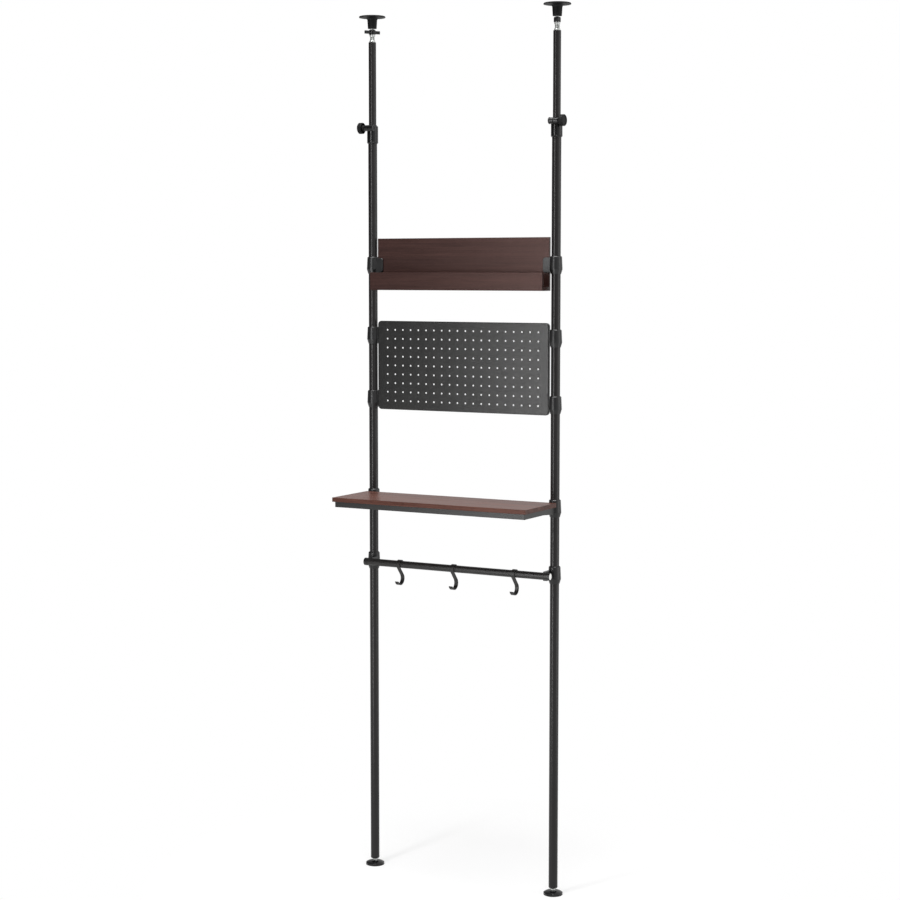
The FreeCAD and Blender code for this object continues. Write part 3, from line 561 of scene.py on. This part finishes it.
# ---- Rubber soles and sheets ----
def grooved_disc(mesh, centre, radius, plain, grooved):
    """A disc whose face at height grooved has concentric grooves; the other is plain."""
    inward = 1 if plain > grooved else -1
    bottom = grooved + inward * GROOVE_DEPTH
    profile = [(DISC_CENTRE, grooved)]
    reach = GROOVE_PITCH
    while reach < radius - GROOVE_PITCH / 2:
        profile += [
            (reach - GROOVE_HALF_MOUTH, grooved),
            (reach - GROOVE_HALF_BOTTOM, bottom),
            (reach + GROOVE_HALF_BOTTOM, bottom),
            (reach + GROOVE_HALF_MOUTH, grooved),
        ]
        reach += GROOVE_PITCH
    profile += [
        (radius - DISC_ROUND, grooved),
        (radius - DISC_ROUND_STEP, grooved + inward * DISC_ROUND_STEP),
        (radius, grooved + inward * DISC_ROUND),
        (radius, plain),
        (DISC_CENTRE, plain),
    ]
    if inward < 0:
        profile.reverse()
    lathe(mesh, centre, profile, LATHE_SIDES)


def make_grooved_rubber(side, part, grooves_below):
    """A foot's sole has its grooves below, a ceiling pad's sheet above."""
    node = f"{side}_{part}"
    low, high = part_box(node)
    plain, grooved = (high.z, low.z) if grooves_below else (low.z, high.z)
    mesh = bmesh.new()
    grooved_disc(mesh, pole_centre(side), (high.x - low.x) / 2, plain, grooved)
    finish_piece(f"{node}_grooved", mesh, "foot_rubber", node)


# ---- Perforated board ----
def rounded_outline(low, high, inset):
    """Points (x, z) round the board, drawn in by an inset."""
    radius = BOARD_CORNER - inset
    right, left = high.x - BOARD_CORNER, low.x + BOARD_CORNER
    top, bottom = high.z - BOARD_CORNER, low.z + BOARD_CORNER
    corners = ((right, top), (left, top), (left, bottom), (right, bottom))
    points = []
    for quarter, middle in enumerate(corners):
        for step in range(BOARD_CORNER_STEPS + 1):
            turn = math.radians(90 * (quarter + step / BOARD_CORNER_STEPS))
            points.append(polar(middle, radius, turn))
    return points


def fold_path(front, rear):
    """(inset, y) of the sheet's skin, from the front face round the folded edge to the back."""
    middle = front + BOARD_BEND
    bend = BOARD_BEND - SHEET
    outer, inner = [], []
    for step in range(BOARD_BEND_STEPS + 1):
        turn = math.radians(90 * step / BOARD_BEND_STEPS)
        across, along = math.sin(turn), math.cos(turn)
        outer.append((BOARD_BEND - BOARD_BEND * across, middle - BOARD_BEND * along))
        inner.append((BOARD_BEND - bend * across, middle - bend * along))
    return outer + [(0.0, rear), (SHEET, rear)] + inner[::-1]


def loop_at(mesh, points, y):
    return [mesh.verts.new((x, y, z)) for x, z in points]


def hole_loops(mesh, centre, front, back):
    """Loops of a punched hole from the front face to the back, with its rolled edge."""
    middle = PEG_ROLL_MIDDLE * PEG_ROLL
    profile = (
        (PEG_RADIUS + PEG_ROLL, front),
        (PEG_RADIUS + middle, front + middle),
        (PEG_RADIUS, front + PEG_ROLL),
        (PEG_RADIUS, back),
    )
    return [loop_at(mesh, circle(centre, radius, PEG_HOLE_SIDES), y) for radius, y in profile]


def fill_plate(mesh, loops):
    """Fill the plane between an outer loop and the holes in it."""
    edges = []
    for loop in loops:
        for ends in zip(loop, loop[1:] + loop[:1]):
            edges.append(mesh.edges.get(ends) or mesh.edges.new(ends))
    bmesh.ops.triangle_fill(mesh, edges=edges, use_beauty=True)


def make_pegboard():
    """One sheet: punched holes with rolled edges, and edges folded back round a bend."""
    node = "pegboard_panel"
    low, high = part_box(node)
    front, back = low.y, low.y + SHEET
    mesh = bmesh.new()
    skin = [loop_at(mesh, rounded_outline(low, high, inset), y)
            for inset, y in fold_path(front, high.y)]
    for first, second in zip(skin, skin[1:]):
        bridge(mesh, first, second)
    front_loops, back_loops = [skin[0]], [skin[-1]]
    middle_z = (low.z + high.z) / 2
    for column in range(PEG_COLUMNS):
        for row in range(PEG_ROWS):
            x = (column - (PEG_COLUMNS - 1) / 2) * PEG_PITCH
            z = middle_z + (row - (PEG_ROWS - 1) / 2) * PEG_PITCH
            wall = hole_loops(mesh, (x, z), front, back)
            for first, second in zip(wall, wall[1:]):
                bridge(mesh, second, first)
            front_loops.append(wall[0])
            back_loops.append(wall[-1])
    fill_plate(mesh, front_loops)
    fill_plate(mesh, back_loops)
    bmesh.ops.recalc_face_normals(mesh, faces=mesh.faces)
    finish_piece("pegboard_sheet", mesh, "pegboard_paint", node)


# ---- Screws ----
def recess_tool():
    """A cross that is shorter at its bottom, to cut the recess of a head on z = 0."""
    tool = bmesh.new()
    bottom = SCREW_HEAD_HEIGHT - RECESS_DEPTH
    top = SCREW_HEAD_HEIGHT + RECESS_TOOL_ABOVE
    for along_x in (True, False):
        loops = []
        for share, z in ((RECESS_BOTTOM, bottom), (RECESS_TOP, top)):
            x, y = share * RECESS_LENGTH / 2, RECESS_WIDTH / 2
            if not along_x:
                x, y = y, x
            corners = ((-x, -y, z), (x, -y, z), (x, y, z), (-x, y, z))
            loops.append([tool.verts.new(corner) for corner in corners])
        join_rings(tool, loops)
    return tool


def cut(body, tool):
    """Take one bmesh out of another and return the result as a mesh."""
    objects = []
    for name, mesh in (("cut_body", body), ("cut_tool", tool)):
        data = bpy.data.meshes.new(name)
        mesh.to_mesh(data)
        mesh.free()
        made = bpy.data.objects.new(name, data)
        bpy.context.scene.collection.objects.link(made)
        objects.append(made)
    modifier = objects[0].modifiers.new("cut", "BOOLEAN")
    modifier.object = objects[1]
    modifier.solver = "EXACT"
    modifier.use_self = True        # the arms of the cross run through each other
    bpy.context.view_layer.update()
    graph = bpy.context.evaluated_depsgraph_get()
    result = bpy.data.meshes.new_from_object(objects[0].evaluated_get(graph))
    for made in objects:
        bpy.data.objects.remove(made)
    return result


def screw_mesh(length):
    """A pan-head screw about +Z with a cross recess: head on z = 0, shank below."""
    profile = [
        (SCREW_SHANK_RADIUS - SMALL_CHAMFER, -length),
        (SCREW_SHANK_RADIUS, -length + SMALL_CHAMFER),
        (SCREW_SHANK_RADIUS, 0.0),
        (SCREW_HEAD_RADIUS, 0.0),
        (SCREW_HEAD_RADIUS, SCREW_RIM * SCREW_HEAD_HEIGHT),
    ]
    for step in range(1, SCREW_CROWN_STEPS + 1):
        turn = math.radians(90 * step / SCREW_CROWN_STEPS)
        profile.append((
            SCREW_HEAD_RADIUS * (1 - SCREW_CROWN * (1 - math.cos(turn))),
            SCREW_HEAD_HEIGHT * (SCREW_RIM + (1 - SCREW_RIM) * math.sin(turn)),
        ))
    body = bmesh.new()
    lathe(body, (0.0, 0.0), profile, SCREW_SIDES)
    return cut(body, recess_tool())


def make_screws(node, length, seats):
    """One screw at each seat, as one piece; a seat is (place, where its head looks)."""
    source = screw_mesh(length)
    mesh = bmesh.new()
    for spot, outward in seats:
        turn = Vector(outward).to_track_quat("Z", "Y").to_matrix().to_4x4()
        turn.translation = Vector(spot)
        screw = source.copy()
        screw.transform(turn)
        mesh.from_mesh(screw)
        bpy.data.meshes.remove(screw)
    bpy.data.meshes.remove(source)
    finish_piece(f"{node}_recessed", mesh, SCREW_SLOT, node)


def head_middles(low, high):
    """Where the heads' middles lie in the screws' box, along one axis."""
    return (low + SCREW_HEAD_RADIUS, high - SCREW_HEAD_RADIUS)


def make_tray_screws():
    """Heads on the back of the tray's panel."""
    node = "tray_screws"
    low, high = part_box(node)
    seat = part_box("tray_back_panel")[1].y
    seats = [((x, seat, z), (0, 1, 0))
             for x in head_middles(low.x, high.x) for z in head_middles(low.z, high.z)]
    make_screws(node, seat - low.y, seats)


def make_shelf_screws():
    """Heads below, inside the frame's rails, and shanks up into the board."""
    node = "shelf_screws"
    low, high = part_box(node)
    seat = low.z + SCREW_HEAD_HEIGHT
    seats = [((x, y, seat), (0, 0, -1))
             for x in head_middles(low.x, high.x) for y in head_middles(low.y, high.y)]
    make_screws(node, high.z - seat, seats)


def make_pegboard_screws():
    """Heads inside the folded edges, shanks outwards."""
    node = "pegboard_screws"
    low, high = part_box(node)
    panel_low, panel_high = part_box("pegboard_panel")
    middle_y = (low.y + high.y) / 2
    edges = ((panel_low.x + SHEET, (1, 0, 0)), (panel_high.x - SHEET, (-1, 0, 0)))
    seats = [((x, middle_y, z), inward)
             for x, inward in edges for z in head_middles(low.z, high.z)]
    make_screws(node, high.x - panel_high.x + SHEET, seats)


# ---- Lights, floor and camera ----
def add_area_light(name, spot, target, size, power):
    data = bpy.data.lights.new(name, "AREA")
    data.shape = "RECTANGLE"
    data.size, data.size_y = size
    data.energy = power
    light = bpy.data.objects.new(name, data)
    light.location = spot
    toward = Vector(target) - Vector(spot)
    light.rotation_euler = toward.to_track_quat("-Z", "Y").to_euler()
    bpy.context.scene.collection.objects.link(light)


def shown_to(tree, path):
    """1 for the rays that show the backdrop: those of the camera, of gloss and of glass."""
    mirrored = larger(tree, path.outputs["Is Camera Ray"], path.outputs["Is Glossy Ray"])
    return larger(tree, mirrored, path.outputs["Is Transmission Ray"])


def add_world():
    """White to the eye and behind the unit; a dimmer studio in front of it."""
    world = bpy.data.worlds.new("studio")
    bpy.context.scene.world = world
    world.use_nodes = True
    tree = world.node_tree
    tree.nodes.clear()
    path = add(tree, "ShaderNodeLightPath")
    fill = add(tree, "ShaderNodeBackground", {"Color": WHITE, "Strength": WORLD_FILL})
    direction = add(tree, "ShaderNodeTexCoord")
    toward = add(tree, "ShaderNodeVectorMath", {
        0: direction.outputs["Generated"], 1: WHITE_SIDE}, operation="DOT_PRODUCT")
    behind = add(tree, "ShaderNodeMapRange", {
        "Value": toward.outputs["Value"],
        "From Min": DARK_BELOW,
        "From Max": WHITE_ABOVE,
        "To Min": DARK_SIDE,
        "To Max": 1.0,
    }, interpolation_type="SMOOTHSTEP")
    level = larger(tree, path.outputs["Is Camera Ray"], behind.outputs["Result"])
    backdrop = add(tree, "ShaderNodeBackground", {"Color": WHITE, "Strength": level})
    mix = add(tree, "ShaderNodeMixShader", {
        0: shown_to(tree, path), 1: fill.outputs[0], 2: backdrop.outputs[0]})
    add(tree, "ShaderNodeOutputWorld", {"Surface": mix.outputs[0]})


def floor_material():
    """Pale near the unit, where it takes the shadow, and plain white farther out."""
    material = bpy.data.materials.new("studio_floor")
    material.use_nodes = True
    tree = material.node_tree
    tree.nodes.clear()
    source = add(tree, "ShaderNodeTexCoord")
    distance = add(tree, "ShaderNodeVectorMath", {
        0: source.outputs["Object"]}, operation="LENGTH")
    away = add(tree, "ShaderNodeMapRange", {
        "Value": distance.outputs["Value"],
        "From Min": SHADOW_FADES_FROM,
        "From Max": SHADOW_ENDS_AT,
    })
    share = add(tree, "ShaderNodeMapRange", {
        "Value": away.outputs["Result"], "To Min": FLOOR_GLOW, "To Max": 1.0})
    pale = add(tree, "ShaderNodeBsdfDiffuse", {"Color": colour(FLOOR_TONE)})
    path = add(tree, "ShaderNodeLightPath")
    level = add(tree, "ShaderNodeMapRange", {
        "Value": shown_to(tree, path), "To Min": WORLD_FILL, "To Max": 1.0})
    white = add(tree, "ShaderNodeEmission", {
        "Color": WHITE, "Strength": level.outputs["Result"]})
    mix = add(tree, "ShaderNodeMixShader", {
        0: share.outputs["Result"], 1: pale.outputs[0], 2: white.outputs[0]})
    add(tree, "ShaderNodeOutputMaterial", {"Surface": mix.outputs[0]})
    return material


def add_floor():
    reach = FLOOR_HALF_WIDTH
    corners = [(-reach, -reach, 0), (reach, -reach, 0), (reach, reach, 0), (-reach, reach, 0)]
    data = bpy.data.meshes.new("floor")
    data.from_pydata(corners, [], [(0, 1, 2, 3)])
    data.materials.append(floor_material())
    floor = bpy.data.objects.new("floor", data)
    bpy.context.scene.collection.objects.link(floor)


def add_camera():
    data = bpy.data.cameras.new("camera")
    data.lens = CAMERA_LENS
    data.sensor_width = CAMERA_SENSOR
    data.clip_end = CAMERA_REACH
    camera = bpy.data.objects.new("camera", data)
    camera.location = CAMERA_PLACE
    camera.rotation_euler = (math.radians(90 - CAMERA_PITCH), 0.0, math.radians(CAMERA_YAW))
    bpy.context.scene.collection.objects.link(camera)
    bpy.context.scene.camera = camera


dress_cad_nodes()
for pole_side in SIDES:
    make_jack_screw(pole_side)
    make_foot_stud(pole_side)
    make_grooved_rubber(pole_side, "foot_rubber", grooves_below=True)
    make_grooved_rubber(pole_side, "ceiling_pad_sheet", grooves_below=False)
make_pegboard()
make_tray_screws()
make_shelf_screws()
make_pegboard_screws()
add_world()
add_floor()
for area_light in AREA_LIGHTS:
    add_area_light(*area_light)
add_camera()
bpy.context.scene.view_settings.view_transform = "Standard"
